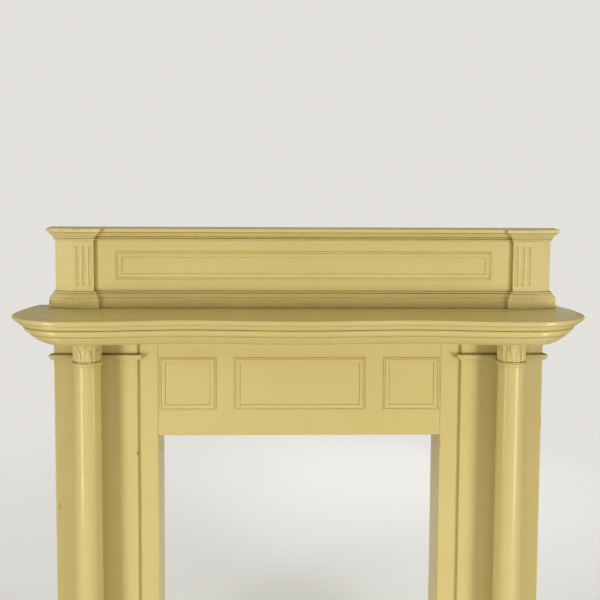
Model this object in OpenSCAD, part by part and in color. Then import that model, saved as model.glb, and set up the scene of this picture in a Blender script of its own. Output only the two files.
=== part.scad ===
// Fireplace mantelpiece in painted wood: a serpentine shelf on two free columns before flat pilasters,
// a panelled frieze over the fire opening, and a low overmantel with fluted end blocks.
// Millimetres, +Z up, +X to the right of someone facing it, +Y towards the wall.
// The origin is on the floor, under the middle of the shelf. The wall face is at half the shelf's depth.

/* [Overall] */
// Height of the top of the shelf above the floor
shelf_h = 1300; // [1150:5:1560]
// Depth of the shelf, wall to the bows over the columns
shelf_d = 300; // [270:1:380]
// Width of the fire opening
open_w = 868; // [720:2:1060]
// Height of the fire opening
open_h = 920; // [700:5:980]

/* [Shelf] */
// Reach of the shelf beyond the outer side of each leg
shelf_reach = 133; // [110:1:180]
// Reach of the shelf in front of the columns
shelf_front = 37; // [30:1:60]
// Thickness of the shelf board
board_t = 29; // [24:1:36]
// Height of the bed moulding under the shelf board
bed_h = 47; // [36:1:60]
// How far the hollows of the front edge lie behind the bows over the columns
hollow_d = 24; // [0:1:36]
// How far the middle bow lies behind the bows over the columns
middle_d = 6; // [0:1:20]
// How far the ends draw in from their widest point to the wall
end_pull = 38; // [0:1:50]
// How much further the moulding steps back round the ends than along the front
end_undercut = 60; // [20:1:70]
// Length of the rounded ends along the front
end_round = 178; // [130:1:200]

/* [Legs] */
// Width of each leg, opening to outer side
leg_w = 301; // [260:1:361]
// Thickness of the boards of the legs and frieze
panel_t = 22; // [18:1:28]
// Width of the flat stile between opening and pilaster
stile_w = 61; // [30:1:75]
// Thickness of each pilaster
pilaster_t = 10; // [8:1:30]
// How far the pilaster reaches past the leg's outer side
pilaster_lap = 12; // [2:1:20]
// Drop from the underside of the bed moulding to the top of the astragal
neck_h = 44; // [30:1:70]

/* [Columns] */
// Radius of the shaft at its neck
shaft_r = 41.5; // [34.5:0.1:50]
// How far the neck ring stands out from the shaft
ring_out = 5.5; // [4:0.5:7]
// Distance between the neck ring and the pilaster
column_gap = 5; // [0.5:0.5:8]
// Distance of the column's axis from the middle of the pilaster, outwards
column_out = 15; // [-10:1:25]
// Height of the carved capital
capital_h = 53; // [40:1:80]
// Number of leaves round a capital
leaves = 16; // [8:1:20]
// Height of the plinth block under pilaster and column
plinth_h = 120; // [60:5:200]
// How far the plinth block stands out beyond the pilaster and the column
plinth_out = 10; // [4:1:20]

/* [Frieze panels] */
// Distance from the bed moulding down to the panels
panel_above = 61; // [30:1:100]
// Distance from the panels down to the opening
panel_below = 79; // [30:1:120]
// Width of each side panel
side_panel_w = 172; // [100:2:180]
// Distance from the end of the frieze to the side panel
side_panel_in = 5; // [4:1:40]
// Distance between the panels
panel_gap = 56; // [30:1:90]
// Width of the planted panel moulding
moulding_w = 18; // [10:1:22]
// How far the panel mouldings stand proud
moulding_t = 4.5; // [3:0.5:10]

/* [Overmantel] */
// Height of the overmantel above the shelf
over_h = 251; // [210:1:340]
// Distance of the overmantel's ends from the widest points of the shelf
over_in = 86; // [81:1:200]
// How far the overmantel sits to the right of the shelf's middle
over_shift = 16; // [-18:1:18]
// Depth of the end blocks at their fluted faces
block_d = 61; // [50:1:75]
// Width of the fluted face of an end block
flute_face_w = 62; // [62:1:90]
// Width of the canted face of an end block, seen from the front
cant_w = 60; // [30:1:70]
// How far the canted face falls back
cant_d = 17; // [5:1:30]
// How far the board lies behind the fluted faces
over_set_back = 14; // [4:1:20]
// Height of the moulded base
over_base_h = 52.5; // [40:0.5:64]
// Height of the crown moulding
over_crown_h = 25.5; // [20:0.5:36]
// Thickness of the cap board
over_cap_t = 12; // [8:0.5:18]
// How far the crown stands out at its top
crown_out = 24; // [14:0.5:26]
// How far the base stands out
base_out = 18; // [14:0.5:20]
// Distance from the end blocks to the overmantel's panel
over_panel_in = 66; // [30:1:120]
// Distance from base and crown to the overmantel's panel
over_panel_above = 35; // [15:0.5:50]
// Width of the moulding round the overmantel's panel
over_moulding_w = 21; // [14:1:24]

/* [Flutes] */
// Number of flutes in an end block
flutes = 3; // [1:1:3]
// Distance between flutes
flute_pitch = 19.5; // [14:0.5:22]
// Width of a flute
flute_w = 11; // [6:0.5:13]
// Depth of a flute
flute_d = 4; // [2:0.5:5]
// Plain margin above and below the flutes
flute_margin = 18; // [10:1:30]

/* [Hidden] */
PAINT = [0.82, 0.745, 0.50];
$fn = 48;

// Planes and levels that several pieces share
ring_r = shaft_r + ring_out;
wall_y = shelf_d / 2;
column_y = -wall_y + shelf_front + ring_r;
pilaster_y = column_y + ring_r + column_gap;
leg_y = pilaster_y + pilaster_t;
board_z = shelf_h - board_t;
bed_z = board_z - bed_h;
leg_x = open_w / 2;
outer_x = leg_x + leg_w;
shelf_x = outer_x + shelf_reach;
pilaster_x1 = leg_x + stile_w;
pilaster_x2 = outer_x + pilaster_lap;
column_x = (pilaster_x1 + pilaster_x2) / 2 + column_out;
capital_z = bed_z - capital_h;
column_top = capital_z - 2;
over_x = shelf_x - over_in;
over_base_z = shelf_h + over_base_h;
over_cap_z = shelf_h + over_h - over_cap_t;
over_crown_z = over_cap_z - over_crown_h;

// ---- Plain helpers ----

// Points of an arc: centre c, radii r, from angle a1 to a2 in n steps
function arc(c, r, a1, a2, n) = [for (i = [0:n]) let (a = a1 + (a2 - a1) * i / n)
    [c[0] + r[0] * cos(a), c[1] + r[1] * sin(a)]];

// An easing curve from 0 to 1 with level ends
function ease(t) = (1 - cos(180 * t)) / 2;

// The points of a list in reverse order
function reversed(list) = [for (i = [len(list) - 1:-1:0]) list[i]];

// The same line of points mirrored left to right, in the order that keeps its turning
function mirrored(points) = [for (p = reversed(points)) [-p[0], p[1]]];

// Unit normal to the right of the way from a to b
function right_normal(a, b) = let (d = b - a) [d[1], -d[0]] / norm(d);

// A line of points moved q to its right, with mitred corners; its ends move square to the line
function offset_line(p, q) = [for (i = [0:len(p) - 1])
    let (n1 = right_normal(p[max(i - 1, 0)], p[max(i, 1)]),
         n2 = right_normal(p[min(i, len(p) - 2)], p[min(i + 1, len(p) - 1)]))
    p[i] + q * (n1 + n2) / (1 + n1 * n2)];

// A closed solid through a stack of outlines that run counter-clockwise: rings = [[z, points], ...], upwards.
// cap lists convex parts of the outline by point number, or is left out when point 0 sees every other point
module stack(rings, cap) {
    m = len(rings[0][1]);
    n = len(rings);
    points = [for (r = rings) for (p = r[1]) [p[0], p[1], r[0]]];
    sides = [for (k = [0:n - 2]) for (i = [0:m - 1]) let (a = k * m + i, b = k * m + (i + 1) % m)
        each [[a, a + m, b], [b, a + m, b + m]]];
    parts = is_undef(cap) ? [[for (i = [0:m - 1]) i]] : cap;
    bottom = parts;
    top = [for (c = parts) [for (i = [0:len(c) - 1]) (n - 1) * m + c[(len(c) - i) % len(c)]]];
    polyhedron(points, concat(bottom, sides, top), convexity = 10);
}

// A box from its lowest to its highest corner
module box(low, high) {
    translate(low) cube(high - low);
}

// The same piece on the right (side = 1) or on the left (side = -1)
module on_side(side) {
    if (side > 0) children();
    else mirror([1, 0, 0]) children();
}

// ---- Shelf and its bed moulding ----

nose_z = 6;
undercut_z = 70;
round_d = shelf_d * 0.45;
corner_x = shelf_x - end_round;
corner_y = round_d - wall_y;
bow_x = corner_x - 50;
hollow_x = bow_x * 0.53;

// Depth of the front edge at x, from the middle bow through the hollow to the bow over the column
function front_depth(x) = let (a = abs(x))
    a < hollow_x ? shelf_d - middle_d - (hollow_d - middle_d) * ease(a / hollow_x)
    : a < bow_x ? shelf_d - hollow_d + hollow_d * ease((a - hollow_x) / (bow_x - hollow_x))
    : shelf_d;

// Half the width of the shelf at depth y, where its end has stepped back by e
function end_x(y, e) = shelf_x - e - end_pull * max(0, 1 - e / 100) * pow((y - corner_y) / (wall_y - corner_y), 2);

// How far the edge has stepped back round the ends where it is q back along the front, z below the top
function end_step(q, z) = q + end_undercut * max(z - nose_z, 0) / undercut_z;

// Right half of the front edge, from the middle to where the rounded end is widest
function front_half(q, e) = concat(
    [for (i = [0:19]) let (x = corner_x * i / 20) [x, wall_y - front_depth(x) + q]],
    arc([corner_x, corner_y], [shelf_x - e - corner_x, round_d - q], -90, 0, 9));

// The whole front edge from left to right
function front_edge(q, e) = let (half = front_half(q, e))
    concat(mirrored([for (i = [1:len(half) - 1]) half[i]]), half);

// Right end behind its widest point, from depth y1 back to depth y2 in n steps
function end_back(y1, y2, n, e) = [for (i = [0:n]) let (y = y1 + (y2 - y1) * i / n) [end_x(y, e), y]];

// Edge of the shelf board, [step back, depth below the top]: nose, groove and cove
board_edge = [[4, 0], [1.2, 2], [0, nose_z], [0.8, 11], [3, 14], [6, 14.2], [6, 16], [6.4, 20], [8, 25],
              [11, board_t]];

// Edge of the bed moulding, [step back, depth below the shelf board]: torus, bead and ogee
bed_k = bed_h / 47;
bed_edge = [for (p = [[13, 0], [10, 3], [9, 9], [10, 15], [13.5, 19.3], [16, 19.6], [16, 21.5], [14, 22.6],
    [13.5, 25.5], [16.5, 29.4], [19, 29.8], [19, 31.6], [20.5, 35], [24, 39], [30, 43], [34, 47]])
    [p[0], board_t + p[1] * bed_k]];

// Outlines of the shelf board, and of the two parts of the bed moulding, at step q and end step e
function board_outline(q, e) = let (back = [for (i = [1:4]) end_back(corner_y, wall_y, 4, e)[i]])
    concat([[0, wall_y]], mirrored(back), front_edge(q, e), back);
function bed_outline(q, e) = concat([[0, leg_y], [-end_x(leg_y, e), leg_y]], front_edge(q, e),
                                    [[end_x(leg_y, e), leg_y]]);
function return_outline(e) = concat([[outer_x, wall_y], [outer_x, leg_y]], end_back(leg_y, wall_y, 3, e));

module shelf_board() {
    color(PAINT)
    stack([for (p = reversed(board_edge)) [shelf_h - p[1], board_outline(p[0], end_step(p[0], p[1]))]]);
}

module bed_moulding() {
    color(PAINT)
    stack([for (p = reversed(bed_edge)) [shelf_h - p[1], bed_outline(p[0], end_step(p[0], p[1]))]]);
}

module bed_return(side) {
    color(PAINT)
    on_side(side)
    stack([for (p = reversed(bed_edge)) [shelf_h - p[1], return_outline(end_step(p[0], p[1]))]]);
}

// ---- Frieze and its panels ----

module frieze_board() {
    color(PAINT)
    box([-leg_x, leg_y, open_h], [leg_x, leg_y + panel_t, board_z]);
}

module opening_soffit() {
    color(PAINT)
    box([-leg_x, leg_y + panel_t, open_h], [leg_x, wall_y, open_h + panel_t]);
}

// Section of a planted panel moulding, [distance in from its outer edge, height], both from 0 to 1
panel_section = [[0, 0], [0, 0.35], [0.07, 0.75], [0.16, 0.98], [0.26, 1], [0.38, 0.86], [0.5, 0.7],
                 [0.74, 0.62], [0.94, 0.6], [0.97, 0.1], [1, 0.1], [1, 0]];

// A rectangular moulding frame on the face y, w wide by h high over its outer edges, with its middle at x, z
module panel_frame(x, z, y, w, h, width) {
    m = len(panel_section);
    points = [for (c = [[-1, -1], [1, -1], [1, 1], [-1, 1]]) for (s = panel_section)
        [x + c[0] * (w / 2 - s[0] * width), y - s[1] * moulding_t, z + c[1] * (h / 2 - s[0] * width)]];
    faces = [for (k = [0:3]) for (i = [0:m - 1])
        let (a = k * m + i, b = k * m + (i + 1) % m, c = ((k + 1) % 4) * m + i, d = ((k + 1) % 4) * m + (i + 1) % m)
        each [[a, b, c], [b, d, c]]];
    polyhedron(points, faces, convexity = 6);
}

frieze_panel_h = bed_z - open_h - panel_above - panel_below;
frieze_panel_z = bed_z - panel_above - frieze_panel_h / 2;
side_panel_x = leg_x - side_panel_in - side_panel_w / 2;
middle_panel_w = open_w - 2 * (side_panel_in + side_panel_w + panel_gap);

// A frieze panel w wide with its middle at x
module frieze_panel(x, w) {
    color(PAINT)
    panel_frame(x, frieze_panel_z, leg_y, w, frieze_panel_h, moulding_w);
}

// ---- Legs ----

module leg_board(side) {
    color(PAINT)
    on_side(side) box([leg_x, leg_y, 0], [outer_x, leg_y + panel_t, board_z]);
}

module opening_return(side) {
    color(PAINT)
    on_side(side) box([leg_x, leg_y + panel_t, 0], [leg_x + panel_t, wall_y, board_z]);
}

module outer_return(side) {
    color(PAINT)
    on_side(side) box([outer_x - panel_t, leg_y + panel_t, 0], [outer_x, wall_y, board_z]);
}

module pilaster(side) {
    color(PAINT)
    on_side(side) box([pilaster_x1, pilaster_y, plinth_h], [pilaster_x2, leg_y, bed_z]);
}

// Section of the astragal, [distance out, height from its top]: bead, fillet and small cove
astragal_section = concat([[3, 0]], arc([8.5, -5.5], [5.5, 5.5], 80, -90, 6),
                          [[7.5, -11.4], [7.5, -13], [8.5, -14], [8.5, -17], [5, -20], [5, -21]]);
astragal_stop = ring_r * 0.75;

// An astragal along the face of the pilaster and back along its edge, seen as a line of three points
module astragal(line) {
    stack([for (s = reversed(astragal_section))
        [bed_z - neck_h + s[1], concat(offset_line(line, s[0]), reversed(line))]], [[0, 1, 4, 5], [1, 2, 3, 4]]);
}

module astragal_inner(side) {
    color(PAINT)
    on_side(side)
    astragal([[pilaster_x1, leg_y], [pilaster_x1, pilaster_y], [column_x - astragal_stop, pilaster_y]]);
}

module astragal_outer(side) {
    color(PAINT)
    on_side(side)
    astragal([[column_x + astragal_stop, pilaster_y], [pilaster_x2, pilaster_y], [pilaster_x2, leg_y]]);
}

// ---- Columns ----

// Half section of the turned column, [radius, height]: base, shaft and neck ring
column_section = concat(
    [[0, plinth_h], [ring_r - 1, plinth_h]],
    arc([ring_r - 8, plinth_h + 8], [8, 8], -70, 60, 6),
    [[ring_r - 4, plinth_h + 18]],
    arc([ring_r - 5, plinth_h + 22], [4, 4], -70, 90, 5),
    [[ring_r - 5, plinth_h + 29], [shaft_r + 0.5, plinth_h + 32], [shaft_r, plinth_h + 60]],
    [[shaft_r, plinth_h + 350], [shaft_r - 1.5, column_top - 15], [ring_r - 4, column_top - 15]],
    arc([ring_r - 4.5, column_top - 9.5], [4.5, 4.5], -85, 85, 6),
    [[ring_r - 4, column_top - 4], [ring_r - 4, column_top], [shaft_r - 4, column_top],
     [shaft_r - 4, capital_z], [0, capital_z]]);

module column(side) {
    color(PAINT)
    on_side(side)
    translate([column_x, column_y, 0]) rotate_extrude($fn = 64) polygon(column_section);
}

// Relief of the carving at angle a and height t (0 to 1), from -1 in the hollows to 1 on the leaves
function leaf_relief(a, t) = let (u = abs(((a * leaves / 360) % 1) * 2 - 1), half = 0.94 - 0.5 * max(0, t - 0.45))
    u < half ? 0.45 + 0.55 * pow(1 - u / half, 0.7) + 0.35 * t * (1 - u) : -0.3 - 0.7 * (u - half) / (1.01 - half);

leaf_steps = 6;
leaf_levels = [0, 0.12, 0.3, 0.5, 0.68, 0.82, 0.94, 1];

// Outline of the capital at height t, with the turning axis as its first point
function leaf_outline(t) = [for (i = [0:leaves * leaf_steps - 1])
    let (a = i * 360 / (leaves * leaf_steps), r = shaft_r - 0.4 + 1.6 * t * t + 1.9 * leaf_relief(a, t))
    [r * cos(a), r * sin(a)]];

module capital(side) {
    m = leaves * leaf_steps;
    n = len(leaf_levels);
    points = concat([for (t = leaf_levels) for (p = leaf_outline(t)) [p[0], p[1], capital_z + t * capital_h]],
                    [[0, 0, capital_z], [0, 0, bed_z]]);
    sides = [for (k = [0:n - 2]) for (i = [0:m - 1]) let (a = k * m + i, b = k * m + (i + 1) % m)
        each [[a, a + m, b], [b, a + m, b + m]]];
    bottom = [for (i = [0:m - 1]) [i, (i + 1) % m, n * m]];
    top = [for (i = [0:m - 1]) [(n - 1) * m + (i + 1) % m, (n - 1) * m + i, n * m + 1]];
    color(PAINT)
    on_side(side)
    translate([column_x, column_y, 0]) polyhedron(points, concat(bottom, sides, top), convexity = 10);
}

plinth_chamfer = 6;

module plinth(side) {
    x1 = pilaster_x1 - plinth_out;
    x2 = pilaster_x2 + plinth_out;
    y1 = column_y - ring_r - plinth_out;
    color(PAINT)
    on_side(side)
    stack([for (p = [[0, 0], [0, plinth_h - plinth_chamfer], [plinth_chamfer, plinth_h]])
        [p[1], [[x1 + p[0], leg_y], [x1 + p[0], y1 + p[0]], [x2 - p[0], y1 + p[0]], [x2 - p[0], leg_y]]]]);
}

// ---- Overmantel ----

block_y = wall_y - block_d;
field_y = block_y + over_set_back;
block_x1 = over_x - cant_w - flute_face_w;
block_x2 = over_x - cant_w;

// Faces of the right half, from the board round the end block to the wall
half_line = [[0, field_y], [block_x1, field_y], [block_x1, block_y], [block_x2, block_y],
             [over_x, block_y + cant_d], [over_x, wall_y]];
over_cap = [[0, 1, 2, 3, 4], [0, 4, 5, 9], [5, 6, 7, 8, 9]];

// Outline of the whole overmantel, q in front of its faces, closed along the wall
function over_outline(q) = let (half = [for (i = [1:5]) offset_line(half_line, q)[i]])
    [for (p = concat(mirrored(half), half)) p + [over_shift, 0]];

module overmantel_board() {
    color(PAINT)
    box([over_shift - block_x1, field_y, over_base_z], [over_shift + block_x1, field_y + panel_t, over_crown_z]);
}

module overmantel_panel_moulding() {
    color(PAINT)
    panel_frame(over_shift, (over_base_z + over_crown_z) / 2, field_y, 2 * (block_x1 - over_panel_in),
                over_crown_z - over_base_z - 2 * over_panel_above, over_moulding_w);
}

// One flute with round ends, cut into the face y = 0 with its middle on x = 0
module flute(z1, z2) {
    r = (flute_d * flute_d + flute_w * flute_w / 4) / (2 * flute_d);
    translate([0, flute_d - r, 0]) {
        translate([0, 0, z1]) cylinder(r = r, h = z2 - z1);
        for (z = [z1, z2]) translate([0, 0, z]) sphere(r = r);
    }
}

module end_block(side) {
    middle = (block_x1 + block_x2) / 2;
    color(PAINT)
    translate([over_shift, 0, 0])
    on_side(side)
    difference() {
        translate([0, 0, over_base_z]) linear_extrude(over_crown_z - over_base_z)
            polygon([[block_x1, wall_y], [block_x1, block_y], [block_x2, block_y],
                     [over_x, block_y + cant_d], [over_x, wall_y]]);
        for (i = [0:flutes - 1])
            translate([middle + (i - (flutes - 1) / 2) * flute_pitch, block_y, 0])
            flute(over_base_z + flute_margin + flute_w / 2, over_crown_z - flute_margin - flute_w / 2);
    }
}

// Edge of the base, [distance out, height]: plinth, ogee and bead
base_k = over_base_h / 52.5;
base_edge = [for (p = [[16, 0], [16, 32.5], [14, 33], [13, 35.5], [10, 39], [7.5, 43], [7, 45.5], [5, 46],
    [6, 47.5], [6, 50], [4.5, 52.5]]) [p[0] * base_out / 16, p[1] * base_k]];

module overmantel_base() {
    color(PAINT)
    stack([for (p = base_edge) [shelf_h + p[1], over_outline(p[0])]], over_cap);
}

// Edge of the crown moulding, [distance out, height]: bead, fillet and ovolo
crown_k = over_crown_h / 25.5;
crown_edge = [for (p = [[3, 0], [4.6, 1.5], [4.6, 4], [3.2, 5.5], [6, 6], [6.4, 9.5], [8.5, 12.5], [9, 13],
    [11.5, 15.5], [14.5, 21], [15, 24.5], [15, 25.5]]) [p[0] * crown_out / 20, p[1] * crown_k]];

module overmantel_crown() {
    color(PAINT)
    stack([for (p = crown_edge) [over_crown_z + p[1], over_outline(p[0])]], over_cap);
}

cap_k = over_cap_t / 12;
cap_edge = [for (p = [[-2, 0], [-0.6, 1.2], [0, 3], [0, 10], [-1, 12]]) [crown_out + p[0], p[1] * cap_k]];

module overmantel_cap() {
    color(PAINT)
    stack([for (p = cap_edge) [over_cap_z + p[1], over_outline(p[0])]], over_cap);
}

// ---- The whole ----

shelf_board();
bed_moulding();
bed_return(-1);  // bed_return_left
bed_return(1);  // bed_return_right
frieze_board();
opening_soffit();
frieze_panel(-side_panel_x, side_panel_w);  // frieze_panel_left
frieze_panel(0, middle_panel_w);  // frieze_panel_centre
frieze_panel(side_panel_x, side_panel_w);  // frieze_panel_right
leg_board(-1);  // leg_board_left
leg_board(1);  // leg_board_right
opening_return(-1);  // opening_return_left
opening_return(1);  // opening_return_right
outer_return(-1);  // outer_return_left
outer_return(1);  // outer_return_right
pilaster(-1);  // pilaster_left
pilaster(1);  // pilaster_right
astragal_inner(-1);  // astragal_left_inner
astragal_outer(-1);  // astragal_left_outer
astragal_inner(1);  // astragal_right_inner
astragal_outer(1);  // astragal_right_outer
column(-1);  // column_left
column(1);  // column_right
capital(-1);  // capital_left
capital(1);  // capital_right
plinth(-1);  // plinth_left
plinth(1);  // plinth_right
overmantel_board();
overmantel_panel_moulding();
end_block(-1);  // end_block_left
end_block(1);  // end_block_right
overmantel_base();
overmantel_crown();
overmantel_cap();
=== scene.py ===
# %% [markdown]
# # A painted fireplace mantelpiece
# The joiner's frame of this mantelpiece comes ready made: every board, column and block is already in
# place, in metres, with the floor at Z = 0 and the wall at the back, at the highest Y. What is left is
# everything that a painter and a carver would add: softened edges, fine mouldings, cut leaves, and coats
# of brushed enamel. So the first cell only loads the frame and notes the sizes that later cells build on.

# %% Load the frame
import bpy
import bmesh
import math
from mathutils import Matrix, Vector
from mathutils.bvhtree import BVHTree


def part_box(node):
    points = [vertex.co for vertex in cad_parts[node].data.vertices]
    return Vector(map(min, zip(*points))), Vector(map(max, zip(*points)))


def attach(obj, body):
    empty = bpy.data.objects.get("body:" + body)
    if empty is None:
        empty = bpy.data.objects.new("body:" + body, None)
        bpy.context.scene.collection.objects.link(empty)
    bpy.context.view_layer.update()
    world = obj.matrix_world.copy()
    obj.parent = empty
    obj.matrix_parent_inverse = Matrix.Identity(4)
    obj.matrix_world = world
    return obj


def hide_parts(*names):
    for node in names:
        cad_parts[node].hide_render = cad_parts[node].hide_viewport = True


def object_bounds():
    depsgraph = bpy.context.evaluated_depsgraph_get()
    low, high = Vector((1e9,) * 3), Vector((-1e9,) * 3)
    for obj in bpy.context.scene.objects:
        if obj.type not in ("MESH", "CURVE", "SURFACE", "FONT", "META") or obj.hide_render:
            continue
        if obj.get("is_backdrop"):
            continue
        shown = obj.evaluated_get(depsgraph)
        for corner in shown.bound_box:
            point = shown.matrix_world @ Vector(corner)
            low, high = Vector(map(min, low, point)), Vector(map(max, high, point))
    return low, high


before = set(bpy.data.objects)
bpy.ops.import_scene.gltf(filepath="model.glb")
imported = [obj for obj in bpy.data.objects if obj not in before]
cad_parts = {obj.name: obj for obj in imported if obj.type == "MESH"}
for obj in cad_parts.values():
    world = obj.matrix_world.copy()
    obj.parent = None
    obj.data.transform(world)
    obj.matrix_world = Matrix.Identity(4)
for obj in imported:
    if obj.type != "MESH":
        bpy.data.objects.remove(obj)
cad_low, cad_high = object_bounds()
MM = 0.001


def low(node):
    """Lowest corner of a CAD node's box."""
    return Vector(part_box(node)[0])


def high(node):
    """Highest corner of a CAD node's box."""
    return Vector(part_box(node)[1])


SHELF_TOP = high("shelf_board").z
SHELF_HALF = high("shelf_board").x
WALL = high("shelf_board").y
SHELF_DEPTH = WALL - low("shelf_board").y
LEG_FACE = low("leg_board_left").y
PILASTER_FACE = low("pilaster_left").y
OUTER_SIDE = high("leg_board_right").x
print("shelf", round(2 * SHELF_HALF, 3), "wide,", round(SHELF_DEPTH, 3), "deep, top at", round(SHELF_TOP, 3))

# %% [markdown]
# ## The viewpoint
# A camera is easiest to trust when its place is written as plain numbers. It stands almost in front of
# the middle, at eye level, a little under three metres from the wall, and looks slightly down. To keep
# upright lines upright, the lens is shifted a little instead of tilting the camera further: that is the
# small vertical shift here. Building the three axes by hand makes the slight turn, tilt and roll easy to
# read.

# %% Camera
EYE = Vector((-0.0837, WALL - 2.939, SHELF_TOP + 0.492))
TURN, TILT, ROLL = math.radians(1.669), math.radians(4.40), math.radians(0.327)
SENSOR, FOCAL_RATIO, SHIFT_UP = 36.0, 922.0 / 600.0, -0.129

camera_data = bpy.data.cameras.new("eye")
camera_data.sensor_width = SENSOR
camera_data.lens = SENSOR * FOCAL_RATIO
camera_data.shift_y = SHIFT_UP
camera_data.clip_start = 0.05
camera_data.clip_end = 200.0
camera = bpy.data.objects.new("eye", camera_data)
bpy.context.scene.collection.objects.link(camera)

forward = Vector((math.sin(TURN) * math.cos(TILT), math.cos(TURN) * math.cos(TILT), -math.sin(TILT)))
level_right = Vector((math.cos(TURN), -math.sin(TURN), 0.0))
level_up = level_right.cross(forward)
right = level_right * math.cos(ROLL) + level_up * math.sin(ROLL)
up = level_up * math.cos(ROLL) - level_right * math.sin(ROLL)
camera.matrix_world = Matrix((
    (right.x, up.x, -forward.x, EYE.x),
    (right.y, up.y, -forward.y, EYE.y),
    (right.z, up.z, -forward.z, EYE.z),
    (0.0, 0.0, 0.0, 1.0)))
bpy.context.scene.camera = camera
print("lens", round(camera_data.lens, 1), "mm, eye", [round(c, 3) for c in EYE])

# %% [markdown]
# ## Light and floor
# Upward faces of this mantelpiece are dim and its fronts are bright, so the light is low. It comes from
# both sides in front, as from two tall windows, and throws the shadow of each column inwards. Two upright
# soft panels do that, with a weak one behind for the back. A low narrow strip on each side lights only
# the gloss: it draws the long bright line that a round enamelled column shows. The sky shows pale to the
# eye and in the gloss of the paint, but lights matt surfaces only a little: a light path switch in the
# sky does that, as a studio's black flags would. The floor is a plain pale disc that fades into the sky,
# so no hard horizon cuts across the picture, and the same switch dims what it throws back up.

# %% Colour handling
scene = bpy.context.scene
scene.view_settings.view_transform = "Standard"
scene.view_settings.look = "Medium High Contrast"
scene.render.film_transparent = False


def new_node(tree, kind, **settings):
    """Adds a shader node; settings are its properties."""
    node = tree.nodes.new(kind)
    for key, value in settings.items():
        setattr(node, key, value)
    return node


def feed(tree, socket, value):
    """Gives an input a number, a colour or another node's output."""
    if isinstance(value, bpy.types.NodeSocket):
        tree.links.new(value, socket)
    else:
        socket.default_value = value


# %% Mixing colours and numbers
def colour_mix(tree, a, b, factor):
    """Mixes two colours; each of a, b and factor is a number, a colour or another node's output."""
    mix = new_node(tree, "ShaderNodeMix", data_type="RGBA")
    for index, value in ((0, factor), (6, a), (7, b)):
        feed(tree, mix.inputs[index], value)
    return mix.outputs[2]


def sums(tree, how, *values):
    """Chains a math operation over numbers and node outputs."""
    total = values[0]
    for value in values[1:]:
        node = new_node(tree, "ShaderNodeMath", operation=how)
        feed(tree, node.inputs[0], total)
        feed(tree, node.inputs[1], value)
        total = node.outputs[0]
    return total


def remap(tree, value, a, b, c, d):
    """Turns a rise of value from a to b into a soft rise from c to d."""
    node = new_node(tree, "ShaderNodeMapRange", interpolation_type="SMOOTHSTEP")
    for name, number in (("From Min", a), ("From Max", b), ("To Min", c), ("To Max", d), ("Value", value)):
        feed(tree, node.inputs[name], number)
    return node.outputs["Result"]


print("helpers", *(helper.__name__ for helper in (new_node, feed, colour_mix, sums, remap)))

# %% Sky
SKY_SEEN = (0.66, 0.645, 0.62, 1.0)
SKY_OVERHEAD = (0.30, 0.30, 0.29, 1.0)
SKY_FILL = (0.035, 0.035, 0.034, 1.0)
SKY_FILL_ABOVE = (0.66, 0.66, 0.64, 1.0)
GLOSS_FRONT = (1.00, 1.00, 1.00, 1.0)
GLOSS_SIDE = (1.15, 1.18, 1.20, 1.0)
GLOSS_BACK = (0.34, 0.33, 0.315, 1.0)
ASIDE, BEHIND, OVERHEAD = (0.06, 0.28), (-0.9, -0.2), (0.22, 0.60)
world = bpy.data.worlds.new("sky")
scene.world = world
world.use_nodes = True
sky = world.node_tree
direction = new_node(sky, "ShaderNodeTexCoord")
split = new_node(sky, "ShaderNodeSeparateXYZ")
feed(sky, split.inputs[0], direction.outputs["Generated"])
sideways = new_node(sky, "ShaderNodeMath", operation="ABSOLUTE")
feed(sky, sideways.inputs[0], split.outputs["X"])
aside = remap(sky, sideways.outputs[0], *ASIDE, 0.0, 1.0)
behind = remap(sky, split.outputs["Y"], *BEHIND, 0.0, 1.0)
overhead = remap(sky, split.outputs["Z"], *OVERHEAD, 0.0, 1.0)
gloss = colour_mix(sky, GLOSS_FRONT, GLOSS_SIDE, aside)
gloss = colour_mix(sky, gloss, GLOSS_BACK, behind)
gloss = colour_mix(sky, gloss, SKY_OVERHEAD, overhead)
fill = colour_mix(sky, SKY_FILL, SKY_FILL_ABOVE, overhead)
kind_of_ray = new_node(sky, "ShaderNodeLightPath")
sky_colour = colour_mix(sky, SKY_SEEN, gloss, kind_of_ray.outputs["Is Glossy Ray"])
sky_colour = colour_mix(sky, sky_colour, fill, kind_of_ray.outputs["Is Diffuse Ray"])
sky.links.new(sky_colour, sky.nodes["Background"].inputs["Color"])
print("sky", world.name)


# %% Soft panels
def soft_panel(name, place, target, width, height, power, matt=True, glossy=True):
    """An area light at place, facing target; unseen itself, it works on matt paint, on gloss or on both."""
    data = bpy.data.lights.new(name, "AREA")
    data.shape = "RECTANGLE"
    data.size, data.size_y = width, height
    data.energy = power
    lamp = bpy.data.objects.new(name, data)
    bpy.context.scene.collection.objects.link(lamp)
    lamp.location = place
    lamp.rotation_mode = "QUATERNION"
    lamp.rotation_quaternion = (Vector(target) - Vector(place)).to_track_quat("-Z", "Y")
    lamp.visible_camera = False
    lamp.visible_diffuse = matt
    lamp.visible_glossy = glossy
    print(name, power, "W")


for side, word in ((-1, "left"), (1, "right")):
    soft_panel("panel_" + word, (3.58 * side, -3.62, 0.80), (0.4 * side, 0.0, 0.95),
               width=1.05, height=1.45, power=117.0, glossy=False)
    soft_panel("strip_" + word, (1.71 * side, -1.40, 0.78), (0.62 * side, -0.10, 0.78),
               width=0.32, height=1.50, power=14.0, matt=False)
soft_panel("panel_behind", (0.8, 3.0, 1.0), (0.0, 0.1, 0.8), width=2.0, height=1.2, power=15.0)

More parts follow.
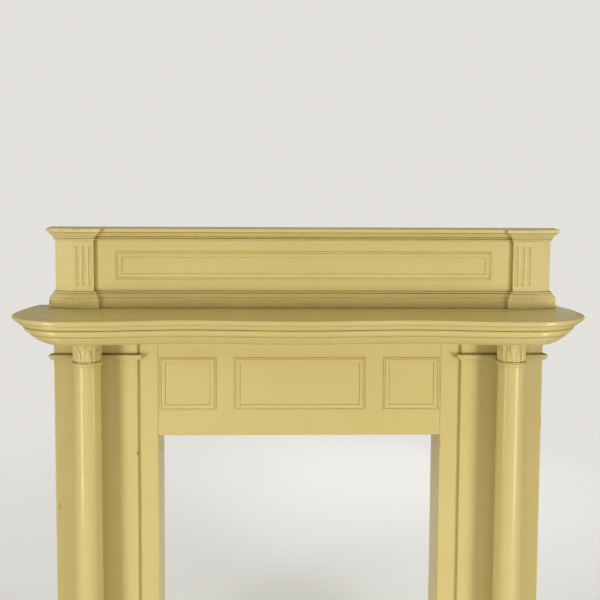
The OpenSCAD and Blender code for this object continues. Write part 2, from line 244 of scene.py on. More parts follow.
# %% Floor
FLOOR_RADIUS, FLOOR_SIDES = 9.0, 96
MELT_FROM, MELT_TO, BOUNCE_LOST = 0.7, 3.6, 0.35
floor_mesh = bpy.data.meshes.new("floor")
angles = [2 * math.pi * i / FLOOR_SIDES for i in range(FLOOR_SIDES)]
rim = [(FLOOR_RADIUS * math.cos(a), FLOOR_RADIUS * math.sin(a), 0.0) for a in angles]
floor_mesh.from_pydata(rim, [], [list(range(FLOOR_SIDES))])
floor = bpy.data.objects.new("floor", floor_mesh)
bpy.context.scene.collection.objects.link(floor)
floor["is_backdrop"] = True

floor_mat = bpy.data.materials.new("pale_floor")
floor_mat.use_nodes = True
tree = floor_mat.node_tree
plain = tree.nodes["Principled BSDF"]
plain.inputs["Base Color"].default_value = (0.86, 0.855, 0.83, 1.0)
plain.inputs["Roughness"].default_value = 0.7
spot = new_node(tree, "ShaderNodeTexCoord")
far = new_node(tree, "ShaderNodeVectorMath", operation="LENGTH")
feed(tree, far.inputs[0], spot.outputs["Object"])
melt = remap(tree, far.outputs["Value"], MELT_FROM, MELT_TO, 0.0, 1.0)
haze = new_node(tree, "ShaderNodeEmission")
floor_ray = new_node(tree, "ShaderNodeLightPath")
haze_seen = colour_mix(tree, SKY_SEEN, GLOSS_BACK, floor_ray.outputs["Is Glossy Ray"])
haze_seen = colour_mix(tree, haze_seen, SKY_FILL, floor_ray.outputs["Is Diffuse Ray"])
feed(tree, haze.inputs["Color"], haze_seen)
dimmed = sums(tree, "MULTIPLY", floor_ray.outputs["Is Diffuse Ray"], BOUNCE_LOST)
blend = new_node(tree, "ShaderNodeMixShader")
for index, part in enumerate((sums(tree, "MAXIMUM", melt, dimmed), plain.outputs[0], haze.outputs[0])):
    feed(tree, blend.inputs[index], part)
tree.links.new(blend.outputs[0], tree.nodes["Material Output"].inputs["Surface"])
floor_mesh.materials.append(floor_mat)
print("floor radius", FLOOR_RADIUS)

# %% [markdown]
# ## Brushed ochre enamel
# The whole piece wears one old coat of yellow-ochre enamel, laid on with a brush. Up close that is four
# things: a colour that drifts a little from place to place, fine ridges that follow the brush, a skin
# that is glossy where it has been wiped and duller where it has not, and the marks of use. Strokes follow
# the length of a board, so one recipe takes the direction of the brush as a setting and makes a finish
# for level, upright and carved work. On upright work the paint runs a little before it sets, so its
# ridges are lower. Each mesh carries two values on its points, which a later cell fills in: grime, high
# in the quirks between mouldings, where it paints both dirt and the shade that falls there, and wear,
# high on the edges that hands and dusters reach.

# %% Texture helpers
OCHRE = (0.605, 0.496, 0.204, 1.0)
OCHRE_DEEP = (0.556, 0.450, 0.160, 1.0)
OCHRE_RUBBED = (0.690, 0.610, 0.310, 1.0)
# Dark brown for specks of dust, and for dirt and painted shade in quirks and corners.
DUST_GRIME_AND_SHADE = (0.200, 0.138, 0.030, 1.0)
UNDERCOAT = (0.600, 0.410, 0.200, 1.0)
OLD_WOOD = (0.330, 0.225, 0.090, 1.0)


def scaled(tree, vector, scale):
    """Space stretched by scale, so that a texture in it is drawn out."""
    mapping = new_node(tree, "ShaderNodeMapping")
    mapping.inputs["Scale"].default_value = scale
    tree.links.new(vector, mapping.inputs["Vector"])
    return mapping.outputs[0]


def noise(tree, vector, scale, detail, rough=0.5):
    """Cloudy noise from 0 to 1; scale is about the number of blots in a metre."""
    node = new_node(tree, "ShaderNodeTexNoise")
    for name, value in (("Vector", vector), ("Scale", scale), ("Detail", detail), ("Roughness", rough)):
        feed(tree, node.inputs[name], value)
    return node.outputs["Fac"]


def bump(tree, height, strength, distance, before=None):
    """Relief of the given distance in metres, on top of the relief before."""
    node = new_node(tree, "ShaderNodeBump")
    for name, value in (("Strength", strength), ("Distance", distance), ("Height", height)):
        feed(tree, node.inputs[name], value)
    if before is not None:
        feed(tree, node.inputs["Normal"], before)
    return node.outputs[0]


print("paint", OCHRE[:3], "where rubbed", OCHRE_RUBBED[:3])

# %% [markdown]
# ## Knocks and chips
# A few knocks have their own place on this piece: the tips of the shelf, the end of the crown, the edges
# of the pilasters. A place is a centre, three radii and a kind. In the finish each becomes a small ragged
# blot, because the distance from its centre is disturbed with noise before it is cut off. Undercoat shows
# where paint has come away, and old wood where the knock went deeper. All the blots together are one node
# group, which each finish then asks whether a point is bare.

# %% Where the knocks are
base_low, cap_low, cap_high = low("overmantel_base"), low("overmantel_cap"), high("overmantel_cap")
pilaster_in, pilaster_out = low("pilaster_right").x, high("pilaster_right").x
OPENING_SIDE = low("leg_board_right").x
# centre x, y, z; radius x, y, z; kind
KNOCKS = [
    (-SHELF_HALF + 0.006, -0.020, SHELF_TOP - 0.003, 0.010, 0.024, 0.006, "undercoat"),
    (-SHELF_HALF + 0.060, -0.085, SHELF_TOP - 0.012, 0.040, 0.020, 0.006, "undercoat"),
    (SHELF_HALF - 0.050, -0.075, SHELF_TOP - 0.010, 0.050, 0.030, 0.009, "undercoat"),
    (SHELF_HALF - 0.012, -0.030, SHELF_TOP - 0.002, 0.016, 0.030, 0.006, "undercoat"),
    (cap_low.x + 0.010, 0.095, cap_high.z - 0.004, 0.018, 0.020, 0.006, "undercoat"),
    (cap_low.x + 0.050, 0.072, cap_low.z + 0.006, 0.016, 0.012, 0.003, "undercoat"),
    (cap_low.x + 0.105, 0.068, cap_high.z - 0.003, 0.012, 0.010, 0.003, "undercoat"),
    (base_low.x + 0.004, 0.105, SHELF_TOP + 0.020, 0.007, 0.018, 0.020, "wood"),
    (base_low.x + 0.060, 0.072, SHELF_TOP + 0.033, 0.020, 0.010, 0.004, "undercoat"),
    (base_low.x + 0.020, 0.100, SHELF_TOP + 0.002, 0.018, 0.014, 0.004, "wood"),
    (pilaster_out, PILASTER_FACE, 0.958, 0.006, 0.010, 0.022, "undercoat"),
    (pilaster_out, PILASTER_FACE, 0.820, 0.004, 0.008, 0.012, "undercoat"),
    (OPENING_SIDE, LEG_FACE, 0.893, 0.006, 0.010, 0.014, "undercoat"),
    (-pilaster_in, PILASTER_FACE, 0.868, 0.004, 0.008, 0.009, "wood"),
    (-OPENING_SIDE, 0.060, 0.860, 0.006, 0.012, 0.010, "wood"),
    (-0.735, PILASTER_FACE, 0.700, 0.008, 0.010, 0.016, "undercoat"),
    (0.300, 0.150, SHELF_TOP - 0.150, 0.040, 0.020, 0.020, "wood"),
    (-0.757, -0.060, 0.040, 0.010, 0.016, 0.018, "undercoat"),
    (0.757, -0.123, 0.110, 0.012, 0.016, 0.008, "wood"),
    (-0.485, -0.124, 0.118, 0.012, 0.012, 0.006, "undercoat"),
]
print(len(KNOCKS), "knocks")

# %% Ragged blots
RAGGED, SOLID_TO, GONE_FROM = 1.5, 1.50, 1.58


def knock_group():
    """A node group with one output for bare undercoat and one for old wood."""
    group = bpy.data.node_groups.new("knocks", "ShaderNodeTree")
    group.interface.new_socket("Place", in_out="INPUT", socket_type="NodeSocketVector")
    group.interface.new_socket("Undercoat", in_out="OUTPUT", socket_type="NodeSocketFloat")
    group.interface.new_socket("Wood", in_out="OUTPUT", socket_type="NodeSocketFloat")
    entry, leave = group.nodes.new("NodeGroupInput"), group.nodes.new("NodeGroupOutput")
    ragged = noise(group, entry.outputs[0], 260.0, 4.0, 0.65)
    totals = {"undercoat": [], "wood": []}
    for x, y, z, rx, ry, rz, kind in KNOCKS:
        shift = new_node(group, "ShaderNodeVectorMath", operation="SUBTRACT")
        group.links.new(entry.outputs[0], shift.inputs[0])
        shift.inputs[1].default_value = (x, y, z)
        size = new_node(group, "ShaderNodeVectorMath", operation="DIVIDE")
        group.links.new(shift.outputs[0], size.inputs[0])
        size.inputs[1].default_value = (rx, ry, rz)
        reach = new_node(group, "ShaderNodeVectorMath", operation="LENGTH")
        group.links.new(size.outputs[0], reach.inputs[0])
        edge = sums(group, "ADD", reach.outputs["Value"], sums(group, "MULTIPLY", ragged, RAGGED))
        totals[kind].append(remap(group, edge, SOLID_TO, GONE_FROM, 1.0, 0.0))
    for index, kind in enumerate(("undercoat", "wood")):
        group.links.new(sums(group, "MAXIMUM", *totals[kind]), leave.inputs[index])
    return group


KNOCK_GROUP = knock_group()


# %% The finish
def enamel(name, stroke, ridge):
    """Brushed enamel; stroke is small along the brush's axis, ridge is how high its marks stand."""
    mat = bpy.data.materials.new(name)
    mat.use_nodes = True
    tree = mat.node_tree
    skin = tree.nodes["Principled BSDF"]
    where = new_node(tree, "ShaderNodeTexCoord").outputs["Object"]
    brushed = scaled(tree, where, stroke)
    cloud = noise(tree, where, 2.6, 3.0)
    mottle = noise(tree, where, 21.0, 4.0, 0.6)
    streak = noise(tree, brushed, 55.0, 4.0, 0.6)
    bristle = noise(tree, brushed, 420.0, 3.0, 0.6)
    speck = noise(tree, where, 700.0, 3.0)
    grime_and_shade = new_node(tree, "ShaderNodeAttribute", attribute_name="grime_and_shade").outputs["Fac"]
    wear = new_node(tree, "ShaderNodeAttribute", attribute_name="wear").outputs["Fac"]

    colour = colour_mix(tree, OCHRE, OCHRE_DEEP, remap(tree, cloud, 0.35, 0.65, 0.0, 0.45))
    colour = colour_mix(tree, colour, OCHRE_DEEP, remap(tree, streak, 0.45, 0.75, 0.0, 0.28))
    colour = colour_mix(tree, colour, OCHRE_RUBBED, remap(tree, bristle, 0.55, 0.80, 0.0, 0.16))
    rubbed = sums(tree, "MULTIPLY", wear, remap(tree, mottle, 0.32, 0.62, 0.15, 0.75))
    colour = colour_mix(tree, colour, OCHRE_RUBBED, rubbed)
    dusty = remap(tree, mottle, 0.45, 0.62, 0.0, 1.0)
    dust = sums(tree, "MULTIPLY", remap(tree, speck, 0.66, 0.74, 0.0, 0.1), dusty)
    # Dark brown from the grime values in quirks and corners: dirt and painted shade together.
    settled_and_shaded = sums(tree, "MULTIPLY", grime_and_shade, remap(tree, mottle, 0.35, 0.65, 0.60, 0.85))
    colour = colour_mix(tree, colour, DUST_GRIME_AND_SHADE, sums(tree, "MAXIMUM", dust, settled_and_shaded))
    worn = remap(tree, wear, 0.45, 0.80, 0.0, 1.0)
    nick = sums(tree, "MULTIPLY", worn, remap(tree, mottle, 0.640, 0.665, 0.0, 1.0))
    knocks = new_node(tree, "ShaderNodeGroup", node_tree=KNOCK_GROUP)
    tree.links.new(where, knocks.inputs[0])
    flaked = sums(tree, "MAXIMUM", nick, knocks.outputs["Undercoat"])
    colour = colour_mix(tree, colour, UNDERCOAT, flaked)
    colour = colour_mix(tree, colour, OLD_WOOD, knocks.outputs["Wood"])
    tree.links.new(colour, skin.inputs["Base Color"])

    bare = sums(tree, "MAXIMUM", flaked, knocks.outputs["Wood"])
    gloss = remap(tree, streak, 0.30, 0.70, 0.47, 0.60)
    dusted, rough = sums(tree, "MULTIPLY", grime_and_shade, 0.35), sums(tree, "MULTIPLY", bare, 0.45)
    dull = sums(tree, "ADD", gloss, dusted, rough)
    tree.links.new(dull, skin.inputs["Roughness"])
    skin.inputs["Specular IOR Level"].default_value = 0.5
    skin.inputs["Coat Weight"].default_value = 0.42
    skin.inputs["Coat Roughness"].default_value = 0.17
    surface = bump(tree, streak, 0.35 * ridge, 0.00035)
    surface = bump(tree, bristle, 0.30 * ridge, 0.00012, surface)
    surface = bump(tree, speck, 0.15, 0.0001, surface)
    surface = bump(tree, sums(tree, "SUBTRACT", 1.0, bare), 0.8, 0.0005, surface)
    tree.links.new(surface, skin.inputs["Normal"])
    return mat


LEVEL = enamel("enamel_level", (0.03, 1.0, 1.0), 1.0)
UPRIGHT = enamel("enamel_upright", (1.0, 1.0, 0.03), 0.40)
CARVED = enamel("enamel_carved", (1.0, 1.0, 0.3), 0.60)
print("finishes", LEVEL.name, UPRIGHT.name, CARVED.name)

# %% [markdown]
# ## From a list of points to a piece
# Nearly everything here is a moulding, so one idea does most of the work: draw the section of the
# moulding as a list of points, then carry it along a path. A point is (step back, drop, grime), and the
# grime value darkens the paint as dirt and as painted shade in the quirks. Curved runs of a section are
# written with a few points and smoothed, straight runs are left alone, and a corner between two runs
# stays crisp.


# %% Mesh helpers
PIECES = []


def smooth(points, steps=4):
    """A soft curve through the points (Catmull-Rom), each point a tuple of numbers."""
    padded = [points[0]] + list(points) + [points[-1]]
    out = []
    for k in range(1, len(padded) - 2):
        p0, p1, p2, p3 = padded[k - 1:k + 3]
        for s in range(steps):
            t = s / steps
            out.append(tuple(
                0.5 * (2 * b + (c - a) * t + (2 * a - 5 * b + 4 * c - d) * t * t
                       + (3 * b - a - 3 * c + d) * t ** 3)
                for a, b, c, d in zip(p0, p1, p2, p3)))
    return out + [tuple(points[-1])]


def solid_object(name, verts, faces):
    """A closed object whose faces all look outwards."""
    mesh = bpy.data.meshes.new(name)
    mesh.from_pydata([tuple(v) for v in verts], [], faces)
    shape = bmesh.new()
    shape.from_mesh(mesh)
    bmesh.ops.recalc_face_normals(shape, faces=shape.faces)
    shape.to_mesh(mesh)
    shape.free()
    thing = bpy.data.objects.new(name, mesh)
    bpy.context.scene.collection.objects.link(thing)
    return thing


def finish_piece(name, verts, faces, grime_and_shade, material, stands_for, crisp=32):
    """Makes a piece with its shading and finish and fixes it to the body; stands_for names CAD nodes."""
    piece = solid_object(name, verts, faces)
    mesh = piece.data
    if grime_and_shade is not None:
        layer = mesh.attributes.new("grime_and_shade", "FLOAT", "POINT")
        layer.data.foreach_set("value", list(grime_and_shade))
    mesh.shade_smooth()
    mesh.set_sharp_from_angle(angle=math.radians(crisp))
    mesh.materials.append(material)
    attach(piece, "root")
    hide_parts(*stands_for)
    PIECES.append(piece)
    print(name, len(mesh.vertices), "points")
    return piece


def loft(name, rings, grime_and_shade, material, stands_for, crisp=32, corners=False):
    """Skins a stack of closed outlines with equal numbers of points; corners keeps each corner crisp."""
    count = len(rings[0])
    verts = [p for one in rings for p in one]
    dirt_and_shade = [g for one, g in zip(rings, grime_and_shade) for _ in one]
    faces = []
    for k in range(len(rings) - 1):
        for i in range(count):
            a, b = k * count + i, k * count + (i + 1) % count
            faces.append((a, b, b + count, a + count))
    faces.append(tuple(range(count)))
    faces.append(tuple((len(rings) - 1) * count + i for i in reversed(range(count))))
    piece = finish_piece(name, verts, faces, dirt_and_shade, material, stands_for, crisp)
    for edge in piece.data.edges:
        if corners and (edge.vertices[1] - edge.vertices[0]) % count == 0:
            edge.use_edge_sharp = True


# %% [markdown]
# ## The shelf
# The shelf is one thick board. Its front swells over each column and again in the middle, with two
# shallow hollows between, and its ends sweep round to the wall. The moulded edge is not the same all the
# way: along the front it is steep, and round the ends it is drawn far back, so that the shelf seems to
# float past the legs. A plain bevel tool can't do that. So each level of the section gets an outline of
# its own, with one step for the front and a longer one for the ends.

# %% Shelf outline
ROUND_LENGTH = 178 * MM
HOLLOW, MIDDLE, END_PULL = 24 * MM, 6 * MM, 38 * MM
UNDERCUT, NOSE_DROP, UNDERCUT_DROP = 60 * MM, 6 * MM, 70 * MM
ROUND_DEPTH = SHELF_DEPTH * 0.45
CORNER_X, CORNER_Y = SHELF_HALF - ROUND_LENGTH, ROUND_DEPTH - WALL
BOW_X = CORNER_X - 50 * MM
HOLLOW_X = BOW_X * 0.53
FRONT_STEPS, ROUND_STEPS, BACK_STEPS = 90, 28, 10


def ease(t):
    """A soft start and a soft stop between 0 and 1."""
    return (1 - math.cos(math.pi * t)) / 2


def front_depth(x):
    """Depth of the shelf at x: middle bow, hollow, bow over the column."""
    a = abs(x)
    if a < HOLLOW_X:
        return SHELF_DEPTH - MIDDLE - (HOLLOW - MIDDLE) * ease(a / HOLLOW_X)
    if a < BOW_X:
        return SHELF_DEPTH - HOLLOW + HOLLOW * ease((a - HOLLOW_X) / (BOW_X - HOLLOW_X))
    return SHELF_DEPTH


def end_x(y, end):
    """How far the end reaches at y, stepped back by end; it draws in towards the wall."""
    pull = END_PULL * max(0.0, 1 - end / (100 * MM))
    return SHELF_HALF - end - pull * ((y - CORNER_Y) / (WALL - CORNER_Y)) ** 2


def end_step(step, drop):
    """The step round the ends: the front's own and a share of the undercut."""
    return step + UNDERCUT * max(drop - NOSE_DROP, 0.0) / UNDERCUT_DROP


def front_edge(step, end):
    """The edge from the left end's widest point round the front to the right end's widest point."""
    half = [(CORNER_X * i / FRONT_STEPS, WALL - front_depth(CORNER_X * i / FRONT_STEPS) + step)
            for i in range(FRONT_STEPS)]
    long, deep = SHELF_HALF - end - CORNER_X, ROUND_DEPTH - step
    for i in range(ROUND_STEPS + 1):
        a = -math.pi / 2 + math.pi / 2 * i / ROUND_STEPS
        half.append((CORNER_X + long * math.cos(a), CORNER_Y + deep * math.sin(a)))
    return [(-x, y) for x, y in reversed(half[1:])] + half


def end_back(start, end):
    """The end's edge from y = start back to the wall."""
    places = [start + (WALL - start) * i / BACK_STEPS for i in range(BACK_STEPS + 1)]
    return [(end_x(y, end), y) for y in places]


def board_outline(step, end):
    back = end_back(CORNER_Y, end)[1:]
    return [(-x, y) for x, y in reversed(back)] + front_edge(step, end) + back


def bed_outline(step, end):
    return [(-end_x(LEG_FACE, end), LEG_FACE)] + front_edge(step, end) + [(end_x(LEG_FACE, end), LEG_FACE)]


def return_outline(side, end):
    line = [(OUTER_SIDE, WALL), (OUTER_SIDE, LEG_FACE)] + end_back(LEG_FACE, end)
    return [(side * x, y) for x, y in line]


def levels(section, outline, top):
    """One ring for each point of a section, (step, drop, grime with painted shade) in millimetres below top.
    """
    rings = []
    for step, drop, _ in section:
        plan = outline(step * MM, end_step(step * MM, drop * MM))
        rings.append([(x, y, top - drop * MM) for x, y in plan])
    return rings, [max(0.0, g) for _, _, g in section]


# %% Shelf board
# Third values darken the quirks of the shelf's edge: dirt and painted shade.
shelf_section = (
    [(14, 0, 0), (7, 0, 0)]
    + smooth([(4.4, 0, 0), (2.2, 0.7, 0), (0.8, 2.6, 0), (0.2, 6.0, 0), (0.3, 9.6, 0), (1.3, 12.8, 0),
              (3.4, 15.2, 0.1)])
    + [(6.2, 15.5, 0.35), (6.4, 16.4, 0.35)]
    + smooth([(5.6, 16.8, 0.1), (6.0, 19.5, 0), (7.2, 23.0, 0), (9.0, 26.4, 0), (11, 29, 0.1)], 3))
rings, dirt_and_shade = levels(shelf_section, board_outline, SHELF_TOP)
loft("shelf", rings, dirt_and_shade, LEVEL, ["shelf_board"])

# %% Bed moulding
# Third values darken the quirks of the bed moulding: dirt and painted shade.
bed_section = (
    [(14.5, 29.2, 0.4), (14.2, 30.2, 0.4)]
    + smooth([(12.6, 30.4, 0.1), (10.0, 32.2, 0), (8.8, 35.6, 0), (8.5, 39.4, 0), (9.3, 43.4, 0),
              (11.6, 47.2, 0), (14.0, 49.6, 0.1)])
    + [(15.8, 49.9, 0.4), (15.8, 50.9, 0.4)]
    + smooth([(14.7, 51.2, 0.1), (13.5, 53.2, 0), (13.4, 55.4, 0), (14.4, 57.6, 0), (16.6, 59.2, 0.1)])
    + [(18.8, 59.5, 0.4), (18.8, 60.5, 0.4)]
    + smooth([(18.4, 61.0, 0.1), (19.4, 63.6, 0), (22.0, 67.2, 0), (26.6, 70.8, 0), (31.0, 73.4, 0),
              (34, 76, 0.1)]))
rings, dirt_and_shade = levels(bed_section, bed_outline, SHELF_TOP)
loft("bed_run", rings, dirt_and_shade, LEVEL, ["bed_moulding"])
for side, word in ((-1, "left"), (1, "right")):
    rings, dirt_and_shade = levels(bed_section, lambda step, end: return_outline(side, end), SHELF_TOP)
    loft("bed_end_" + word, rings, dirt_and_shade, LEVEL, ["bed_return_" + word])

# %% [markdown]
# ## Flat boards
# Planed boards never keep a razor edge once they are sanded and painted three times. A box whose edges
# are rolled over by a millimetre or two catches a thin line of light along each edge, and that line is
# what tells the eye where one board stops and the next begins. The box is built as a lattice of points
# with extra rows close to its edges and close to where other pieces stand on it, so that wear, dirt and
# painted shade have points to settle on. Rolling the edge over is one sum: pull each point in to the core
# of the board, and push it out again by the radius.


# %% Board maker
PANEL_WIDTH = {"frieze": 18 * MM, "overmantel": 21 * MM}
PLAIN_ROWS, WIDE_GAP, FINE_GAP, LEAST_GAP = 12, 7 * MM, 1 * MM, 1.2 * MM
ROLL_SHARE = 0.45


def edges_near(node, reach=3 * MM):
    """Corners of the boxes of the pieces that touch a node, and inner corners of panel mouldings."""
    a, b = low(node), high(node)
    found = []
    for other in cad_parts:
        c, d = low(other), high(other)
        if other != node and all(c[i] < b[i] + reach and d[i] > a[i] - reach for i in range(3)):
            found += [c, d]
            if "_panel" in other:
                inset = Vector([PANEL_WIDTH[other.split("_")[0]]] * 3)
                found += [c + inset, d - inset]
    return found


def rows(a, b, edge, marks):
    """Places of the lattice rows from a to b: dense at the ends and on both sides of each mark."""
    lo, hi = a + edge, b - edge
    wanted = [lo + (hi - lo) * i / PLAIN_ROWS for i in range(1, PLAIN_ROWS)] + [lo + WIDE_GAP, hi - WIDE_GAP]
    for mark in marks:
        wanted += [mark - WIDE_GAP, mark - FINE_GAP, mark + FINE_GAP, mark + WIDE_GAP]
    places = [a, a + ROLL_SHARE * edge, lo]
    for place in sorted(wanted):
        if places[-1] + LEAST_GAP < place < hi - LEAST_GAP:
            places.append(place)
    return places + [hi, b - ROLL_SHARE * edge, b]


def board(name, node, edge, material):
    """A board with rolled edges in the space of a CAD board."""
    a, b = low(node), high(node)
    near = edges_near(node)
    lattice = [rows(a[i], b[i], edge, [corner[i] for corner in near]) for i in range(3)]
    last = [len(line) - 1 for line in lattice]
    numbers, verts, faces = {}, [], []

    def point(key):
        if key not in numbers:
            p = Vector([lattice[i][key[i]] for i in range(3)])
            core = Vector([min(max(p[i], a[i] + edge), b[i] - edge) for i in range(3)])
            numbers[key] = len(verts)
            verts.append(core + (p - core).normalized() * edge)
        return numbers[key]

    for axis in range(3):
        u, v = (axis + 1) % 3, (axis + 2) % 3
        for end in (0, last[axis]):
            for i in range(last[u]):
                for j in range(last[v]):
                    corners = []
                    for du, dv in ((0, 0), (1, 0), (1, 1), (0, 1)):
                        key = [0, 0, 0]
                        key[axis], key[u], key[v] = end, i + du, j + dv
                        corners.append(point(tuple(key)))
                    faces.append(tuple(corners if end else reversed(corners)))
    return finish_piece(name, verts, faces, None, material, [node])


board("frieze", "frieze_board", 2.6 * MM, LEVEL)
board("soffit", "opening_soffit", 1.2 * MM, LEVEL)
board("over_field", "overmantel_board", 1.0 * MM, LEVEL)
for word in ("left", "right"):
    board("leg_" + word, "leg_board_" + word, 2.0 * MM, UPRIGHT)
    board("lining_" + word, "opening_return_" + word, 1.2 * MM, UPRIGHT)
    board("leg_side_" + word, "outer_return_" + word, 1.2 * MM, UPRIGHT)
    board("flat_pilaster_" + word, "pilaster_" + word, 2.0 * MM, UPRIGHT)
    board("foot_block_" + word, "plinth_" + word, 4.0 * MM, LEVEL)


# %% [markdown]
# ## Columns
# A column is turned on a lathe, so its mesh is one half section spun about the axis. The shaft tapers by
# a millimetre or two from foot to neck. The base below is the plainest that still looks right: a torus, a
# fillet and a bead. The half section lists how far each point stands out and how high it is, and the
# rings that it draws as it spins are skinned like any other stack of outlines.

# %% Column maker
NECK_STEP, TAPER, TAPER_FROM = 5.5 * MM, 1.5 * MM, 0.28
BASE_UP, NECK_DOWN, SHAFT_STEPS = 60 * MM, 16 * MM, 24


def turned(radius, level, points):
    """Section points given in millimetres out from radius and up from level, with grime and painted shade.
    """
    return [(radius + out * MM, level + up * MM, grime_and_shade) for out, up, grime_and_shade in points]


def column_section(foot, top, ring):
    """Half section of the column, whose widest part is ring: (radius, height, grime with painted shade) in
    metres.
    """
    neck, start = ring - NECK_STEP, foot + BASE_UP
    # Third values darken the quirks of the base: dirt and painted shade.
    base = ([(-2.0, 0, 0.5)]
            + smooth([(-2.2, 0.6, 0.2), (-0.3, 4, 0), (0, 8, 0), (-1.2, 12.6, 0), (-4, 15, 0.3)], 5)
            + [(-4.6, 15.4, 0.8), (-4.2, 16.2, 0.3), (-4.2, 18, 0.6)]
            + smooth([(-3.4, 18.4, 0.2), (-1.2, 21, 0), (-1.6, 24.4, 0), (-5, 26, 0.3)], 4)
            + [(-5, 29, 0.2)])
    sweep = smooth([(0.4, 32, 0.1), (0.1, 45, 0), (0, 60, 0)], 4)
    shaft = []
    for t in [i / SHAFT_STEPS for i in range(1, SHAFT_STEPS + 1)]:
        thinner = TAPER * max(0.0, t - TAPER_FROM) / (1 - TAPER_FROM)
        shaft.append((neck - thinner, start + t * (top - NECK_DOWN - start), 0))
    # The head darkens the groove under the leaves and its top ledge: painted shade with some dirt.
    head = (smooth([(-6.9, -15.4, 0.3), (-4.4, -15.2, 0.2), (-3.4, -14, 0)], 2)
            + [(-3.6, -12.4, 0.5), (-2.6, -11.8, 0.3)]
            + smooth([(-1.6, -11, 0), (-0.1, -8.6, 0), (-0.2, -6, 0), (-1.8, -3.6, 0), (-3.8, -2.6, 0.1)], 5)
            + [(-3.8, 0, 0.4), (-9.5, 0, 1.0), (-9.5, 2, 1.0)])
    return turned(ring, foot, base) + turned(neck, foot, sweep) + shaft + turned(ring, top, head)


# %% Spin the columns
SPIN_SIDES = 96


def circle(centre, radius, z, sides):
    """Points round a level circle."""
    angles = [2 * math.pi * i / sides for i in range(sides)]
    return [(centre.x + radius * math.cos(a), centre.y + radius * math.sin(a), z) for a in angles]


for word in ("left", "right"):
    a, b = low("column_" + word), high("column_" + word)
    section = column_section(a.z, b.z - 2 * MM, (b.x - a.x) / 2)
    rings = [circle((a + b) / 2, radius, z, SPIN_SIDES) for radius, z, _ in section]
    loft("shaft_" + word, rings, [max(0.0, g) for _, _, g in section], UPRIGHT, ["column_" + word])


# %% [markdown]
# ## Carved capitals
# Each capital is a drum cut into upright leaves, tall and short in turn, with plain tips behind them. A
# carver works from the outside in, and a relief map does the same: for every angle and height it says how
# far the surface stands from the axis. A leaf is a rounded body with a midrib, side veins that run up and
# out, a lobed edge, and a tip that curls forward. Nothing cut by hand repeats exactly, so each leaf leans
# and ends a little differently, by a sum that gives the same answer every time.

# %% Leaf relief
PAIRS, PAIR_POINTS, LEAF_UP = 8, 56, 88
DRUM_INSET, LEAF_RISE = 5.2, 3.3


def hand(number, spread):
    """A fixed small difference for leaf or capital number, between -spread and spread."""
    return spread * math.sin(number * 12.9898 + 4.1)


def one_leaf(u, t, tip, number):
    """Relief in millimetres and grime with painted shade of one leaf, None beside it; u is -1 to 1 across
    it, t its height.
    """
    u = u + hand(number, 0.14) * t
    tip = tip * (1 + hand(number + 31, 0.05))
    if t > tip:
        return None
    near_tip = max(0.0, (t / tip - 0.45) / 0.55)
    half = 0.96 - 0.74 * near_tip ** 2.2 + 0.05 * math.sin(t * 30.0 + number) * min(1.0, 5 * t)
    side = abs(u) / max(half, 0.05)
    if side > 1:
        return None
    body = (1 - side ** 2.6) ** 0.7
    rib = 0.7 * math.exp(-(side / 0.13) ** 2) * (1 - 0.4 * near_tip)
    veins = 0.55 * math.cos(2 * math.pi * (t * 6.5 - side * 1.25)) * min(1.0, side * 3) * (1 - side ** 4)
    curl = 1.5 * near_tip ** 2.5 * (1 - 0.5 * side)
    # The second value darkens the leaf's edges, the gaps where shade falls between leaves: painted shade
    # with some dirt.
    return LEAF_RISE * body + rib + veins * body + curl - 0.6, 0.3 * max(0.0, (side - 0.8) / 0.2) ** 2


def relief(a, t, first):
    """Relief and grime with painted shade at a, counted in pairs of leaves from 0 to PAIRS, and height t."""
    number = int(a) + first
    part = a % 1.0
    tall = one_leaf((part - 0.25) / 0.27, t, 0.97, number)
    short = one_leaf((part - 0.75) / 0.27, t, 0.64, number + 17)
    behind = abs(part - 0.75) / 0.25
    tip = 0.9 - 1.4 * min(behind, 1.6 - behind) + 0.5 * math.exp(-(behind / 0.12) ** 2)
    # Tips behind the leaves are darkened a little too: painted shade with some dirt.
    back = (tip - 0.6 * max(0.0, 0.5 - t), 0.25)
    return max((leaf for leaf in (tall, short, back) if leaf is not None), key=lambda leaf: leaf[0])


# %% Cut the capitals
for first, word in enumerate(("left", "right")):
    a, b = low("capital_" + word), high("capital_" + word)
    centre, drum = (a + b) / 2, (b.x - a.x) / 2
    around = PAIRS * PAIR_POINTS
    verts, dirt_and_shade, faces = [], [], []
    for k in range(LEAF_UP + 1):
        t = k / LEAF_UP
        for i in range(around):
            lift, grime_and_shade = relief(i / PAIR_POINTS, t, 40 * first)
            r = min(drum - DRUM_INSET * MM + (1.2 * t * t + lift) * MM, drum)
            turn = 2 * math.pi * i / around + hand(first, 0.3)
            x, y = centre.x + r * math.cos(turn), centre.y + r * math.sin(turn)
            verts.append((x, y, a.z + t * (b.z - a.z)))
            dirt_and_shade.append(grime_and_shade)
    for k in range(LEAF_UP):
        for i in range(around):
            p, q = k * around + i, k * around + (i + 1) % around
            faces.append((p, q, q + around, p + around))
    faces.append(tuple(range(around)))
    faces.append(tuple(LEAF_UP * around + i for i in reversed(range(around))))
    finish_piece("leaves_" + word, verts, faces, dirt_and_shade, CARVED, ["capital_" + word], crisp=70)

# %% [markdown]
# ## Mouldings that turn corners
# The neck of each pilaster, the panels and the whole overmantel use mouldings that run straight and turn
# at mitred corners. Moving a line of points sideways by the same distance everywhere, and meeting at the
# corner's half angle, is exactly what a mitre saw does.


# %% Mitred lines
def offset_line(line, q):
    """The line moved q to its right, with mitred corners."""
    out = []
    for i in range(len(line)):
        normals = []
        for a, b in ((max(i - 1, 0), max(i, 1)), (min(i, len(line) - 2), min(i + 1, len(line) - 1))):
            d = Vector(line[b]) - Vector(line[a])
            normals.append(Vector((d.y, -d.x)).normalized())
        n1, n2 = normals
        out.append(Vector(line[i]) + (n1 + n2) * (q / (1 + n1.dot(n2))))
    return out
